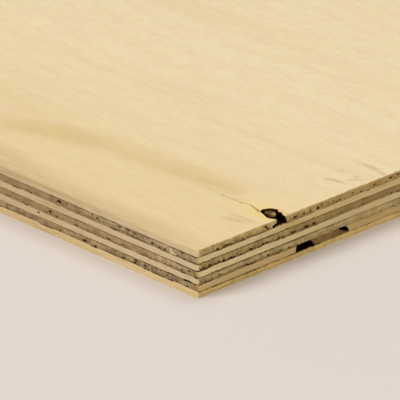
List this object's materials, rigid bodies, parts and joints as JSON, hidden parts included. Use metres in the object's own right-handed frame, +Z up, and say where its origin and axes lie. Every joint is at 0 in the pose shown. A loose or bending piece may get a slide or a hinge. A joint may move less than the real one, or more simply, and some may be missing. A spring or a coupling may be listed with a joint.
{
  "type": "plywood sheet",
  "caption": "Flat rectangular sheet of softwood plywood with crossed veneers showing on its sawn edges, a knot hole and crack in the face and a knot void in one edge.",
  "frame": {"origin": "middle of the underside, on the surface that the sheet lies on", "axes": "+X along the sheet's length and the grain of its face, towards the end with the knots; +Y across the sheet; +Z up through its thickness"},
  "size_m": [1.22, 0.61, 0.018],
  "materials": {
    "face": "sanded, unfinished",
    "back": "sanded, unfinished",
    "long_ply": "sawn, unfinished",
    "crossband": "sawn, unfinished",
    "knot": "sawn, unfinished"
  },
  "bodies": {
    "root": {"face_veneer": "face", "face_knot": "knot", "upper_crossband": "crossband", "upper_crossband_strip": "crossband", "upper_long_ply": "long_ply", "core_crossband": "crossband", "lower_long_ply": "long_ply", "lower_crossband": "crossband", "lower_crossband_knot": "knot", "back_veneer": "back"}
  },
  "joints": []
}
